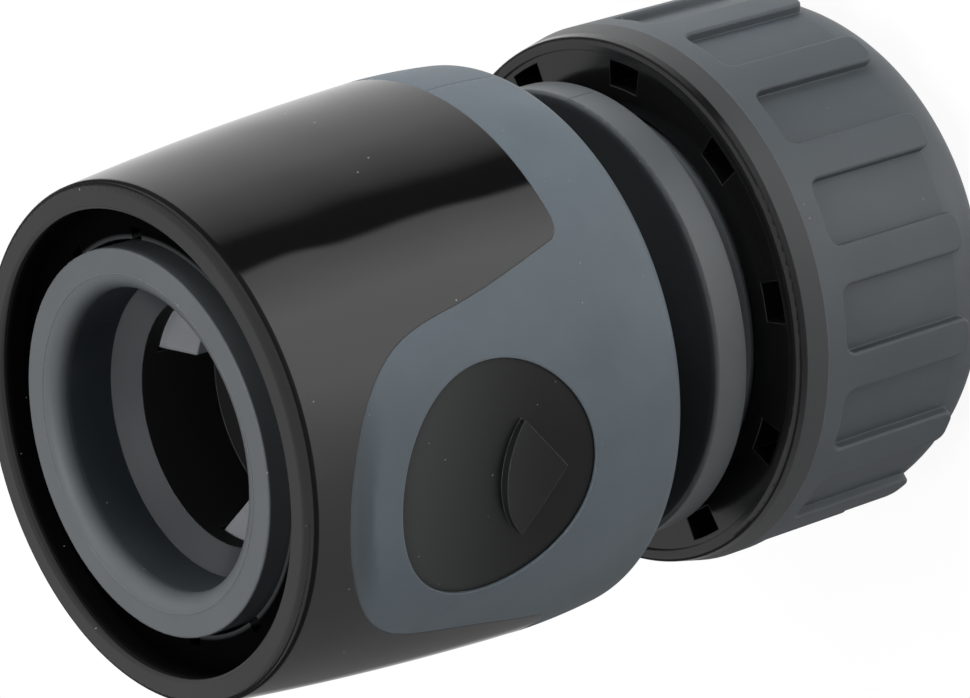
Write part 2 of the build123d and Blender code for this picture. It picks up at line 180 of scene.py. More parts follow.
ceiling_edge = (-0.05, 0.25)
gap_foot = (-0.36, -0.28)
gap_top = (0.28, 0.42)
room = Finish(bpy.data.worlds.new("white_room"))
bpy.context.scene.world = room.owner
toward = room.node("ShaderNodeTexCoord", out="Generated")
toward_x, toward_y, toward_z = (room.axis(toward, name) for name in "XYZ")
turn = toward_y.maths("ARCTAN2", toward_y, toward_x) / (2 * pi) + 0.5
panels = room.node(
    "ShaderNodeValToRGB",
    {"stops": [
        (heading(-180), 1.0), (heading(-150), 0.75), (heading(-129), 0.20), (heading(-109), 0.28),
        (heading(-89), 0.38), (heading(-69), 0.48), (heading(-29), 0.75), (heading(-9), 0.95),
        (heading(11), 1.4), (heading(31), 2.0), (heading(61), 2.1), (heading(83), 1.2),
        (heading(85.5), 0.02), (heading(99), 0.03), (heading(106), 0.45), (heading(115), 0.72),
        (heading(131), 1.0), (heading(180), 1.0)]},
    {"Fac": turn},
)
mirrored = room.node("ShaderNodeLightPath", out="Is Glossy Ray")
seen = room.node("ShaderNodeLightPath", out="Is Camera Ray")
through = room.node("ShaderNodeLightPath", out="Is Transmission Ray")
ceiling_share = room.step(toward_z, *ceiling_edge)
over_panels = room.step(toward_z, *gap_foot) * (1 - room.step(toward_z, *gap_top))
open_light = room.mix(ceiling_share, panels, (0.72, 0.72, 0.72))
mirror_light = room.mix(over_panels * 0.9, open_light, (0.03, 0.03, 0.03))
matt_light = room.mix(mirrored, (0.07, 0.07, 0.075), mirror_light)
room_light = room.mix(seen.maths("MAXIMUM", seen, through), matt_light, (1.0, 1.0, 1.0))
glow = room.node("ShaderNodeBackground", {}, {"Color": room_light})
room.node("ShaderNodeOutputWorld", {}, {"Surface": glow})

# The fitting stands on a large sheet of white paper on a table. Softboxes light it from over its
# upper side and from straight in front of the mouth, with two weak ones beside the camera.
table_half = 3.0
table_top = -0.02 * mm
table_mesh = bpy.data.meshes.new("table")
table_mesh.from_pydata(
    [(x, y, table_top) for x, y in ((-table_half, -table_half), (table_half, -table_half),
                                    (table_half, table_half), (-table_half, table_half))],
    [], [(0, 1, 2, 3)])
table = bpy.data.objects.new("table", table_mesh)
bpy.context.scene.collection.objects.link(table)
table.visible_glossy = False
paper = Finish(bpy.data.materials.new("white_paper"))
looked_at = paper.node("ShaderNodeLightPath", out="Is Camera Ray")
paper_matt = paper.node("ShaderNodeBsdfDiffuse", {}, {"Color": (0.86, 0.86, 0.86)})
paper_white = paper.node("ShaderNodeEmission", {}, {"Color": (1.0, 1.0, 1.0), "Strength": 1.0})
paper_face = paper.node("ShaderNodeMixShader", {}, {0: looked_at * 0.94, 1: paper_matt, 2: paper_white})
paper.node("ShaderNodeOutputMaterial", {}, {"Surface": paper_face})
table_mesh.materials.append(paper.owner)
fitting_middle = Vector((0, 0, (cad_box[0][2] + cad_box[1][2]) / 2))


def softbox(name, toward, power, size=0.5, distance=0.75):
    """A square lamp that shines on the middle of the fitting from a direction."""
    data = bpy.data.lights.new(name, "AREA")
    data.shape = "SQUARE"
    data.size = size
    data.energy = power
    lamp = bpy.data.objects.new(name, data)
    lamp.location = fitting_middle + Vector(toward).normalized() * distance
    lamp.rotation_euler = (-Vector(toward)).to_track_quat("-Z", "Y").to_euler()
    lamp.visible_glossy = False
    lamp.visible_camera = False
    bpy.context.scene.collection.objects.link(lamp)


softbox("key_softbox", (-0.5, 0.85, 0.1), 9.5)
softbox("mouth_softbox", (0.1, 0.1, 1.0), 8.0)
softbox("upper_softbox", (0.6, 0.8, -0.1), 3.0)
softbox("side_softbox", (1.0, 0.1, -0.1), 1.1)

# The inner body is moulded in one piece in hard grey acetal: the nose and socket, the barrel with its
# spring seat, the flange, the threaded sleeve and the barbed hose tail. The socket's wall is painted
# dark as painted shade, nearly black deepest in, and its lower roughness stands for the polished face
# that the core pin of the mould leaves. The neck and the flange's front face are painted darker too,
# as painted shade.
socket_shade_reach = (10.71 * mm, 10.98 * mm)
socket_shade_fade = (61.7 * mm, 62.6 * mm)
ledge_front = 58.5 * mm
ledge_rear = 57.1 * mm
ledge_edge = 0.1 * mm
socket_floor = 36.0 * mm
neck_shade_front = 36.0 * mm
neck_shade_rear = 26.3 * mm
neck_shade_reach = (16.0 * mm, 16.45 * mm)
# Pale colour of dust specks, also laid on corners as wear and painted highlight.
dust_and_highlight_colour = (0.30, 0.31, 0.32)


def mottled(skin, colour, share, patch):
    """A moulded colour that drifts lighter and darker by a share, in patches of about that size."""
    cloud = skin.node("ShaderNodeTexNoise", {}, {"Vector": skin.node("ShaderNodeTexCoord", out="Object"),
                                                 "Scale": 1 / patch, "Detail": 3.0, "Roughness": 0.6})
    spread = skin.step(cloud, 0.3, 0.7)
    dark = tuple(part * (1 - share) for part in colour)
    light = tuple(part * (1 + share) for part in colour)
    return skin.mix(spread, dark, light)


def dusted(skin, colour, cell):
    """Fine pale dust: a speck where the face passes close to the middle of a cell of that size."""
    reach = skin.node("ShaderNodeTexVoronoi", {}, {"Vector": skin.node("ShaderNodeTexCoord", out="Object"),
                                                   "Scale": 1 / cell})
    return skin.mix((reach < 0.033) * 0.5, colour, dust_and_highlight_colour)


def eased_edges(skin, edge):
    """The normal of a face whose corners are rounded by a small radius."""
    return skin.node("ShaderNodeBevel", {"samples": 4}, {"Radius": edge})


# The pale corner lines drawn with this mask stand partly for wear and partly for painted highlights on
# rounded edges.
def edge_wear_and_highlight(skin, eased):
    """1 along the corners of a piece and 0 on its open faces."""
    face = skin.node("ShaderNodeNewGeometry", out="Normal")
    level = skin.node(
        "ShaderNodeVectorMath", {"operation": "DOT_PRODUCT"}, {0: eased, 1: face}, out="Value")
    return skin.step(1 - level, 0.01, 0.12)


def moulded_face(skin, eased, grain, depth):
    """The normal of a moulded face: its eased corners and a fine spark grain."""
    spark = skin.node("ShaderNodeTexNoise", {}, {"Vector": skin.node("ShaderNodeTexCoord", out="Object"),
                                                 "Scale": 1 / grain, "Detail": 2.0})
    return skin.node(
        "ShaderNodeBump", {}, {"Strength": 1.0, "Distance": depth, "Height": spark, "Normal": eased})


def uneven(skin, middle, spread, patch):
    """A roughness that changes a little from place to place, as handling leaves it."""
    cloud = skin.node("ShaderNodeTexNoise", {}, {"Vector": skin.node("ShaderNodeTexCoord", out="Object"),
                                                 "Scale": 1 / patch, "Detail": 4.0})
    return (cloud - 0.5) * (2 * spread) + middle


def finish_node(name, skin):
    """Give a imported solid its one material."""
    nodes[name].data.materials.clear()
    nodes[name].data.materials.append(skin.owner)


def out_of_axis(skin, place):
    """Distance of a point from the axis of the fitting."""
    x, y = skin.axis(place, "X"), skin.axis(place, "Y")
    return (x * x + y * y) ** 0.5


hard_grey = Finish(bpy.data.materials.new("hard_grey"))
grey_place = hard_grey.node("ShaderNodeTexCoord", out="Object")
grey_out = out_of_axis(hard_grey, grey_place)
grey_up = hard_grey.axis(grey_place, "Z")
grey_shell = mottled(hard_grey, (0.063, 0.070, 0.074), 0.05, 7 * mm)
# Painted shade: the socket's wall is mixed dark, a little lighter on the ledge and nearly black deepest in.
in_wall = 1 - hard_grey.step(grey_out, *socket_shade_reach)
in_socket_shade = in_wall * (grey_up > socket_floor) * (1 - hard_grey.step(grey_up, *socket_shade_fade))
on_ledge = hard_grey.step(grey_up, ledge_rear - ledge_edge, ledge_rear) * (grey_up < ledge_front)
in_deep_shade = in_wall * (grey_up > socket_floor) * (grey_up < ledge_rear - ledge_edge / 2)
# Painted shade: the neck and the flange's front face behind the sleeve are mixed darker.
in_neck_shade = (1 - hard_grey.step(grey_out, *neck_shade_reach)) * (1 - in_wall)
in_neck_shade *= (grey_up > neck_shade_rear) * (grey_up < neck_shade_front)
socket_shade = hard_grey.mix(on_ledge, (0.026, 0.032, 0.037), (0.020, 0.022, 0.025))
shaded_grey = hard_grey.mix(in_socket_shade, hard_grey.mix(in_neck_shade * 0.48, grey_shell, (0.004, 0.005, 0.006)), socket_shade)
grey_colour = hard_grey.mix(in_deep_shade, shaded_grey, (0.002, 0.002, 0.002))
grey_edges = eased_edges(hard_grey, 0.12 * mm)
dusty_grey = dusted(hard_grey, grey_colour, 2.3 * mm)
# Pale corner lines: partly wear, partly painted highlight.
worn_and_lit_grey = hard_grey.mix(edge_wear_and_highlight(hard_grey, grey_edges) * 0.25, dusty_grey, dust_and_highlight_colour)
hard_grey_face = hard_grey.node(
    "ShaderNodeBsdfPrincipled", {},
    {"Base Color": worn_and_lit_grey,
     "Roughness": uneven(hard_grey, 0.38, 0.05, 5 * mm) - in_socket_shade * 0.14 + in_deep_shade * 0.46,
     "Normal": moulded_face(hard_grey, grey_edges, 0.12 * mm, 0.004 * mm)})
hard_grey.node("ShaderNodeOutputMaterial", {}, {"Surface": hard_grey_face})
finish_node("inner_body", hard_grey)

# The male thread is moulded on the sleeve behind the flange: a right-hand ridge of 3 mm pitch and
# rounded trapezium section that runs out to nothing at both ends.
thread_pitch = 3.0 * mm
thread_root_radius = 14.6 * mm
thread_ridge = 0.25 * mm
thread_run_out = 0.12
thread_least = 0.05
thread_steps = 96
thread_profile = ((-0.66, -0.1), (-0.56, 0.08), (-0.30, 0.88), (-0.16, 1.0),
                  (0.16, 1.0), (0.30, 0.88), (0.56, 0.08), (0.66, -0.1))
male_thread_span = (13.8 * mm, 20.5 * mm)


def swept_bar(name, sections, ring=False):
    """A solid bar skinned through cross-sections with equal numbers of points, or a closed ring."""
    count, rows = len(sections[0]), len(sections)
    faces = [(row * count + side, row * count + (side + 1) % count,
              (row + 1) % rows * count + (side + 1) % count, (row + 1) % rows * count + side)
             for row in range(rows if ring else rows - 1) for side in range(count)]
    if not ring:
        faces += [tuple(range(count)), tuple(range((rows - 1) * count, rows * count))]
    mesh = bpy.data.meshes.new(name)
    mesh.from_pydata([point for section in sections for point in section], [], faces)
    skin = bmesh.new()
    skin.from_mesh(mesh)
    bmesh.ops.recalc_face_normals(skin, faces=skin.faces)
    skin.to_mesh(mesh)
    skin.free()
    mesh.polygons.foreach_set("use_smooth", [True] * len(mesh.polygons))
    mesh.set_sharp_from_angle(angle=radians(40))
    piece = bpy.data.objects.new(name, mesh)
    bpy.context.scene.collection.objects.link(piece)
    return piece


def thread(name, root, height, low, high):
    """A right-hand thread ridge that rises from the root by a signed height."""
    steps = int((high - low) / thread_pitch * thread_steps)
    sections = []
    for count in range(steps + 1):
        turns = count / thread_steps
        ending = min(turns, steps / thread_steps - turns) / thread_run_out
        rise = height * min(1.0, ending + thread_least)
        angle = 2 * pi * turns
        section = []
        for along, out in thread_profile:
            radius = root + (rise if out > 0 else height) * out
            up = low + thread_pitch * turns + along * mm
            section.append((radius * cos(angle), radius * sin(angle), up))
        sections.append(section)
    return swept_bar(name, sections)


male_thread = thread("male_thread", thread_root_radius, thread_ridge, *male_thread_span)
male_thread.data.materials.append(hard_grey.owner)
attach(male_thread, "inner")

# The mould leaves fine witness lines on the body: one round the nose, where the face meets the
# lead-in, and one across the rim of the flange on either side, where the halves of the mould part.
nose_line_up = 63.48 * mm
nose_line_radius = 11.87 * mm
flange_radius = 16.77 * mm
flange_span = (24.05 * mm, 26.27 * mm)
line_width = 0.065 * mm
line_sink = 0.02 * mm
nose_line_steps = 180


def section_corners(radius, sides):
    """Corners of a small round section, as offsets outward and along."""
    angles = [2 * pi * side / sides for side in range(sides)]
    return [(radius * cos(angle), radius * sin(angle)) for angle in angles]


line_section = section_corners(line_width, 6)
nose_sections = []
for step in range(nose_line_steps):
    angle = 2 * pi * step / nose_line_steps
    nose_sections.append([
        ((nose_line_radius + out) * cos(angle), (nose_line_radius + out) * sin(angle), nose_line_up + along)
        for out, along in line_section])
nose_line = swept_bar("nose_witness_line", nose_sections, ring=True)
flange_lines = []
for side, sign in (("top", 1), ("bottom", -1)):
    line_sections = [
        [(across, sign * (flange_radius - line_sink + out), up) for out, across in line_section]
        for up in flange_span]
    flange_lines.append(swept_bar(f"flange_parting_line_{side}", line_sections))
for line in (nose_line, *flange_lines):
    line.data.materials.append(hard_grey.owner)
    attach(line, "inner")

# The three claws are small acetal blocks that ride in windows of the socket. They are paler than
# the body, and their working faces are smooth.
claw_grey = Finish(bpy.data.materials.new("claw_grey"))
claw_face = claw_grey.node(
    "ShaderNodeBsdfPrincipled", {},
    {"Base Color": mottled(claw_grey, (0.19, 0.198, 0.210), 0.05, 3 * mm),
     "Roughness": uneven(claw_grey, 0.34, 0.04, 2 * mm),
     "Normal": moulded_face(claw_grey, eased_edges(claw_grey, 0.2 * mm), 0.10 * mm, 0.002 * mm)})
claw_grey.node("ShaderNodeOutputMaterial", {}, {"Surface": claw_face})
for number in (1, 2, 3):
    finish_node(f"claw_{number}", claw_grey)

# The return spring is hard-drawn stainless wire, coiled cold, with fine lines left along the wire
# by the drawing. One end stands on the seat of the body and the other carries the sleeve, so the real
# coil shortens as the sleeve comes back; this coil is built once, at the size of the imported spring.
spring_turns = 5
spring_steps = 72
wire_radius = 0.6 * mm
wire_sides = 16
spring_steel = Finish(bpy.data.materials.new("spring_steel"))
steel_place = spring_steel.node("ShaderNodeTexCoord", out="Object")
drawn_lines = spring_steel.node(
    "ShaderNodeTexNoise", {}, {"Vector": steel_place, "Scale": 1 / (0.25 * mm), "Detail": 3.0})
steel_face = spring_steel.node(
    "ShaderNodeBsdfPrincipled", {},
    {"Base Color": spring_steel.mix(drawn_lines, (0.50, 0.50, 0.49), (0.62, 0.61, 0.60)), "Metallic": 1.0,
     "Roughness": uneven(spring_steel, 0.28, 0.08, 0.8 * mm),
     "Normal": moulded_face(spring_steel, eased_edges(spring_steel, 0.01 * mm), 0.08 * mm, 0.002 * mm)})
spring_steel.node("ShaderNodeOutputMaterial", {}, {"Surface": steel_face})
finish_node("return_spring", spring_steel)

spring_corners = [Vector(corner) for corner in nodes["return_spring"].bound_box]
coil_low = min(corner.z for corner in spring_corners) + wire_radius
coil_high = max(corner.z for corner in spring_corners) - wire_radius
coil_radius = max(corner.x for corner in spring_corners) - wire_radius
coil_pitch = (coil_high - coil_low) / spring_turns
coil_sections = []
for step in range(spring_turns * spring_steps + 1):
    angle = 2 * pi * step / spring_steps
    outward = Vector((cos(angle), sin(angle), 0))
    along = Vector((-sin(angle), cos(angle), coil_pitch / (2 * pi * coil_radius)))
    across = along.normalized().cross(outward)
    middle = outward * coil_radius + Vector((0, 0, coil_low + coil_pitch * step / spring_steps))
    coil_sections.append([
        middle + outward * out + across * aside for out, aside in section_corners(wire_radius, wire_sides)])
coil = swept_bar("spring_coil", coil_sections)
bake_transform(coil)
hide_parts("return_spring")
coil.data.materials.append(spring_steel.owner)

# The guide ring is a flat ring of black acetal snapped in behind the rim of the sleeve. Its bore
# edge is painted a little brighter, as a painted highlight.
bore_highlight_reach = (13.9 * mm, 14.25 * mm)
ring_black = Finish(bpy.data.materials.new("ring_black"))
ring_place = ring_black.node("ShaderNodeTexCoord", out="Object")
ring_out = out_of_axis(ring_black, ring_place)
# Painted highlight: a paler ring along the bore edge.
bore_highlight = 1 - ring_black.step(ring_out, *bore_highlight_reach)
ring_colour = ring_black.mix(bore_highlight, (0.0003, 0.0003, 0.0003), (0.03, 0.032, 0.033))
ring_face = ring_black.node(
    "ShaderNodeBsdfPrincipled", {"distribution": "GGX"},
    {"Base Color": ring_colour, "Roughness": 0.6, "Specular IOR Level": 0.015,
     "Normal": moulded_face(ring_black, eased_edges(ring_black, 0.12 * mm), 0.10 * mm, 0.002 * mm)})
ring_black.node("ShaderNodeOutputMaterial", {}, {"Surface": ring_face})
finish_node("front_ring", ring_black)

# The sleeve is moulded in glossy black plastic. Its polished wall has the faint ripple of the mould,
# and its rim is softly rounded. The two sunk thumb pads and their raised arrows have a fine spark
# finish, painted paler towards the mouth as painted light.
pad_middle = 48.55 * mm
pad_half_width = 8.45 * mm
pad_half_length = 8.0 * mm
pad_least_radius = 17.6 * mm
sleeve_rim = (18.2 * mm, 64.0 * mm)
rim_round_out = 17.75 * mm
rim_round_up = 63.0 * mm
gloss_black = Finish(bpy.data.materials.new("gloss_black"))
gloss_place = gloss_black.node("ShaderNodeTexCoord", out="Object")
gloss_up = gloss_black.axis(gloss_place, "Z")
gloss_out = out_of_axis(gloss_black, gloss_place)
gloss_across = gloss_black.axis(gloss_place, "Y") / pad_half_width
gloss_along = (gloss_up - pad_middle) / pad_half_length
pad_share = gloss_across * gloss_across + gloss_along * gloss_along
on_pad = (1 - gloss_black.step(pad_share, 0.995, 1.005)) * (gloss_out > pad_least_radius)
ripple = gloss_black.node(
    "ShaderNodeTexNoise", {}, {"Vector": gloss_place, "Scale": 1 / (12 * mm), "Detail": 1.0})
over_wall = gloss_up.maths("MAXIMUM", gloss_up - rim_round_up, 0.0)
over_face = gloss_out.maths("MINIMUM", gloss_out, sleeve_rim[0]) - rim_round_out
over_face = over_face.maths("MAXIMUM", over_face, 0.0) * (gloss_up > rim_round_up)
rim_fall = over_wall * over_wall / (2 * (sleeve_rim[1] - rim_round_up))
rim_fall += over_face * over_face / (2 * (sleeve_rim[0] - rim_round_out))
rippled = gloss_black.node(
    "ShaderNodeBump", {},
    {"Strength": 1.0, "Distance": 1.0, "Height": ripple * (0.22 * mm) - rim_fall,
     "Normal": eased_edges(gloss_black, 0.10 * mm)})
polished_face = gloss_black.node(
    "ShaderNodeBsdfPrincipled", {},
    {"Base Color": dusted(gloss_black, (0.0035, 0.0035, 0.0038), 2.0 * mm),
     "Roughness": 0.06, "Normal": rippled})
pad_edges = eased_edges(gloss_black, 0.09 * mm)
# Painted light: the pad's colour runs paler towards the mouth and darker towards the rear.
pad_painted_light = gloss_black.mix(
    gloss_black.step(gloss_along, -0.6, 1.3), (0.0012, 0.0013, 0.0013), (0.034, 0.037, 0.036))
dusty_pad = dusted(gloss_black, pad_painted_light, 1.7 * mm)
# Pale corner lines: partly wear, partly painted highlight.
pad_colour = gloss_black.mix(edge_wear_and_highlight(gloss_black, pad_edges) * 0.22, dusty_pad, dust_and_highlight_colour)
pad_face = gloss_black.node(
    "ShaderNodeBsdfPrincipled", {},
    {"Base Color": pad_colour, "Roughness": 0.42, "Specular IOR Level": 0.24,
     "Normal": moulded_face(gloss_black, pad_edges, 0.10 * mm, 0.003 * mm)})
sleeve_face = gloss_black.node("ShaderNodeMixShader", {}, {0: on_pad, 1: polished_face, 2: pad_face})
gloss_black.node("ShaderNodeOutputMaterial", {}, {"Surface": sleeve_face})
finish_node("sleeve_core", gloss_black)

# The soft grip is slate-grey rubber moulded over the sleeve: a collar round the rear and a lobe round
# each thumb pad, with rounded borders and a parting line across the collar on either side. Towards
# the mouth each lobe thins to a dished band, which is painted darker as painted shade.
slate_colour = (0.068, 0.087, 0.102)
grip_thickness = 1.2 * mm
grip_rear_wrap = 1.1 * mm
grip_rear_round = 1.3 * mm
rear_round_parts = 10
rear_chamfer = 0.1 * mm
grip_bore_radius = 17.0 * mm
sleeve_rear = 32.1 * mm
sleeve_middle = (19.58 * mm, 49.964 * mm)
sleeve_widest = (20.18 * mm, 38.5 * mm)
sleeve_tail = (19.78 * mm, sleeve_rear)
border_ease = 0.15 * mm
border_drop = 0.02 * mm
parting_width = 0.07 * mm
parting_depth = 0.05 * mm
band_width = 2.0 * mm
band_dish = 0.10 * mm
dish_rise = (0.1 * mm, 0.5 * mm)
dish_fall = (1.3 * mm, band_width)
band_crest = 0.07 * mm
crest_rise = (1.4 * mm, band_width + 0.1 * mm)
crest_fall = (band_width + 0.2 * mm, band_width + 1.4 * mm)
band_fades = (57.0 * mm, 60.0 * mm)
band_blend = 0.3 * mm
rubber_spacing = 0.45 * mm
row_spacing = rubber_spacing * 0.866
border_spacing = 0.3 * mm
border_parts = 4
border_rows = (0.08 * mm, 0.17 * mm, 0.30 * mm)
border_margin = 0.42 * mm
parting_margin = 0.2 * mm
unroll_radius = 20.0 * mm
seam_angle = -pi / 2
parting_stop = 0.1 * mm
outer_face_rear = 33.0 * mm
lobe_border_rear = 34.5 * mm
surface_tolerance = 0.02 * mm
oval_tolerance = 0.02


def circle_through(first, second, third):
    """Centre and radius of the circle through three points of a section."""
    (ax, ay), (bx, by), (cx, cy) = first, second, third
    a, b, c = ax * ax + ay * ay, bx * bx + by * by, cx * cx + cy * cy
    twice = 2 * (ax * (by - cy) + bx * (cy - ay) + cx * (ay - by))
    x = (a * (by - cy) + b * (cy - ay) + c * (ay - by)) / twice
    y = (a * (cx - bx) + b * (ax - cx) + c * (bx - ax)) / twice
    return x, y, sqrt((ax - x) ** 2 + (ay - y) ** 2)


front_curve = circle_through(sleeve_rim, sleeve_middle, sleeve_widest)
tail_step = sleeve_widest[0] - sleeve_tail[0]
tail_drop = sleeve_widest[1] - sleeve_tail[1]
rear_radius = (tail_drop**2 + tail_step**2) / (2 * tail_step)
rear_curve = (sleeve_widest[0] - rear_radius, sleeve_widest[1], rear_radius)


def sleeve_surface(up):
    """Outer radius of the sleeve at a height above the table."""
    x, y, radius = front_curve if up > sleeve_widest[1] else rear_curve
    return x + sqrt(radius**2 - (up - y) ** 2)


def unrolled(x, y, up):
    """A point of the sleeve on its flat development, cut open where only the collar runs."""
    angle = atan2(y, x)
    return ((angle if angle >= seam_angle else angle + 2 * pi) * unroll_radius, up)


def rolled(along, up, radius):
    """The point of the fitting over a place of the development, at a radius."""
    return (radius * cos(along / unroll_radius), radius * sin(along / unroll_radius), up)


def grip_borders():
    """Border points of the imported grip's outer face, on the development."""
    mesh = nodes["sleeve_grip"].data
    spots = [tuple(round(value, 6) for value in vertex.co) for vertex in mesh.vertices]
    outer = [abs(sqrt(x * x + y * y) - sleeve_surface(up)) < surface_tolerance and up > outer_face_rear
             for x, y, up in spots]
    uses = {}
    for face in mesh.polygons:
        if all(outer[corner] for corner in face.vertices):
            for start, end in face.edge_keys:
                edge = frozenset((spots[start], spots[end]))
                uses[edge] = uses.get(edge, 0) + 1
    ends = {spot for edge, count in uses.items() if count == 1 for spot in edge}
    return [unrolled(*spot) for spot in sorted(ends) if spot[2] > lobe_border_rear]


def spread(points, spacing):
    """The same line with points at an even spacing, its ends kept."""
    lengths = [0.0]
    for start, end in zip(points, points[1:]):
        lengths.append(lengths[-1] + (Vector(end) - Vector(start)).length)
    count = max(2, round(lengths[-1] / spacing))
    result, piece = [], 0
    for number in range(count + 1):
        reach = lengths[-1] * number / count
        while piece < len(points) - 2 and lengths[piece + 1] < reach:
            piece += 1
        share = (reach - lengths[piece]) / (lengths[piece + 1] - lengths[piece])
        result.append(tuple(Vector(points[piece]).lerp(Vector(points[piece + 1]), share)))
    return result


def pad_reach(along, up):
    """Below 1 inside the oval of a thumb pad, above 1 outside."""
    across = sleeve_surface(up) * sin(along / unroll_radius) / pad_half_width
    return across**2 + ((up - pad_middle) / pad_half_length) ** 2


def on_oval(spot):
    """Whether a border point of the development lies on the oval of a thumb pad."""
    return abs(pad_reach(*spot) - 1) < oval_tolerance


left_edge = seam_angle * unroll_radius
right_edge = left_edge + 2 * pi * unroll_radius
border_spots = grip_borders()
oval_lines = []
for centre in (0.0, pi * unroll_radius):
    ring = [spot for spot in border_spots if on_oval(spot) and abs(spot[0] - centre) < 12 * mm]
    ring.sort(key=lambda spot: atan2(spot[1] - pad_middle, spot[0] - centre))
    oval_lines.append(spread(ring + ring[:1], border_spacing))
front_spots = sorted(spot for spot in border_spots if not on_oval(spot))
collar_front = front_spots[0][1]
front_line = spread([(left_edge, collar_front), *front_spots, (right_edge, collar_front)], border_spacing)
parting_lines = (left_edge, pi / 2 * unroll_radius, right_edge)

nearest = {}
for name, lines in (("front", [front_line]), ("oval", oval_lines)):
    spots = [Vector(start).lerp(Vector(end), part / border_parts)
             for line in lines for start, end in zip(line, line[1:]) for part in range(border_parts)]
    nearest[name] = KDTree(len(spots))
    for number, spot in enumerate(spots):
        nearest[name].insert((*spot, 0.0), number)
    nearest[name].balance()


def border_gap(name, along, up):
    """Distance on the development from the nearest point of a border."""
    return nearest[name].find((along, up, 0.0))[2]


def soft_step(value, low, high):
    """0 below low, 1 above high, and a soft change between."""
    share = min(1.0, max(0.0, (value - low) / (high - low)))
    return share * share * (3 - 2 * share)


def band_shade_share(along, up):
    """How much painted shade falls on a place: 1 in the dished band near the lobe's front border, 0
    elsewhere.
    """
    gap = border_gap("front", along, up)
    return soft_step(up, *band_fades) * (1 - soft_step(gap, band_width - band_blend, band_width))


def parting_gap(along):
    """Distance on the development from the nearer of the two parting lines."""
    return min(abs(along - line) for line in parting_lines)


def rubber_radius(along, up):
    """Outer radius of the soft grip, with its eased borders, parting lines and dished bands."""
    front_gap = border_gap("front", along, up)
    gap = min(front_gap, border_gap("oval", along, up))
    ease = border_drop * max(0.0, 1 - gap / border_ease) ** 2
    ease += parting_depth * max(0.0, 1 - parting_gap(along) / parting_width)
    fade = soft_step(up, *band_fades)
    dish = band_dish * soft_step(front_gap, *dish_rise) * (1 - soft_step(front_gap, *dish_fall))
    crest = band_crest * soft_step(front_gap, *crest_rise) * (1 - soft_step(front_gap, *crest_fall))
    return sleeve_surface(up) - ease + fade * (crest - dish)


def inside_rubber(along, up):
    """Whether a place of the development is covered by the grip."""
    place = bisect(front_alongs, along)
    before, after = front_line[max(0, place - 1)], front_line[min(len(front_line) - 1, place)]
    share = (along - before[0]) / (after[0] - before[0]) if after[0] > before[0] else 0.0
    return up < before[1] + share * (after[1] - before[1]) and pad_reach(along, up) > 1.0


front_alongs = [spot[0] for spot in front_line]
round_centre_up = sleeve_rear + grip_rear_round
round_centre = rear_curve[0] + sqrt(
    (rear_curve[2] - grip_rear_round) ** 2 - (round_centre_up - rear_curve[1]) ** 2)
round_start = atan2(round_centre_up - rear_curve[1], round_centre - rear_curve[0])
skin_rear = round_centre_up + grip_rear_round * sin(round_start)
columns = round((right_edge - left_edge) / rubber_spacing)
column_step = (right_edge - left_edge) / columns


def rows_inside(line, closed):
    """Rows of points that follow a border of the rubber, just inside it."""
    size, result = len(line), []
    for depth in border_rows:
        for number, place in enumerate(line):
            before = Vector(line[(number - 1) % size if closed else max(0, number - 1)])
            after = Vector(line[(number + 1) % size if closed else min(size - 1, number + 1)])
            inward = Vector((after.y - before.y, before.x - after.x)).normalized() * depth
            spot = Vector(place) + inward
            if not inside_rubber(*spot):
                spot = Vector(place) - inward
            if left_edge < spot.x < right_edge and inside_rubber(*spot):
                result.append(tuple(spot))
    return result


def net_row(row):
    """One row of the even net that covers the rubber, with closer points at the parting lines."""
    up = skin_rear + row * row_spacing
    result = []
    if up < collar_front - parting_stop:
        result = [
            (line + offset, up) for line in parting_lines for offset in (-parting_width, 0, parting_width)
            if left_edge < line + offset < right_edge]
    for number in range(columns + 1):
        at_seam = number in (0, columns)
        if at_seam:
            along = left_edge if number == 0 else right_edge
        else:
            along = left_edge + (number + (row % 2) * 0.5) * column_step
        gap = min(border_gap("front", along, up), border_gap("oval", along, up))
        clear = at_seam or parting_gap(along) > parting_margin
        if along <= right_edge and clear and inside_rubber(along, up) and gap > border_margin:
            result.append((along, up))
    return result


flat_points = [(left_edge + number * column_step, skin_rear) for number in range(columns + 1)]
flat_edges = [(number, number + 1) for number in range(columns)]
for line, closed in ((front_line, False), *((oval[:-1], True) for oval in oval_lines)):
    first, size = len(flat_points), len(line)
    flat_points += line + rows_inside(line, closed)
    flat_edges += [(first + number, first + (number + 1) % size)
                   for number in range(size if closed else size - 1)]
for row in range(1, int((sleeve_rim[1] - skin_rear) / row_spacing)):
    flat_points += net_row(row)
flat = geometry.delaunay_2d_cdt([Vector(spot) for spot in flat_points], flat_edges, [], 0, 1e-9)
cover = [tuple(spot) for spot in flat[0]]
skin_faces = []
for corners in flat[2]:
    middle = sum((Vector(cover[corner]) for corner in corners), Vector((0, 0))) / 3
    if inside_rubber(*middle) and middle.y > skin_rear:
        skin_faces.append(tuple(corners))

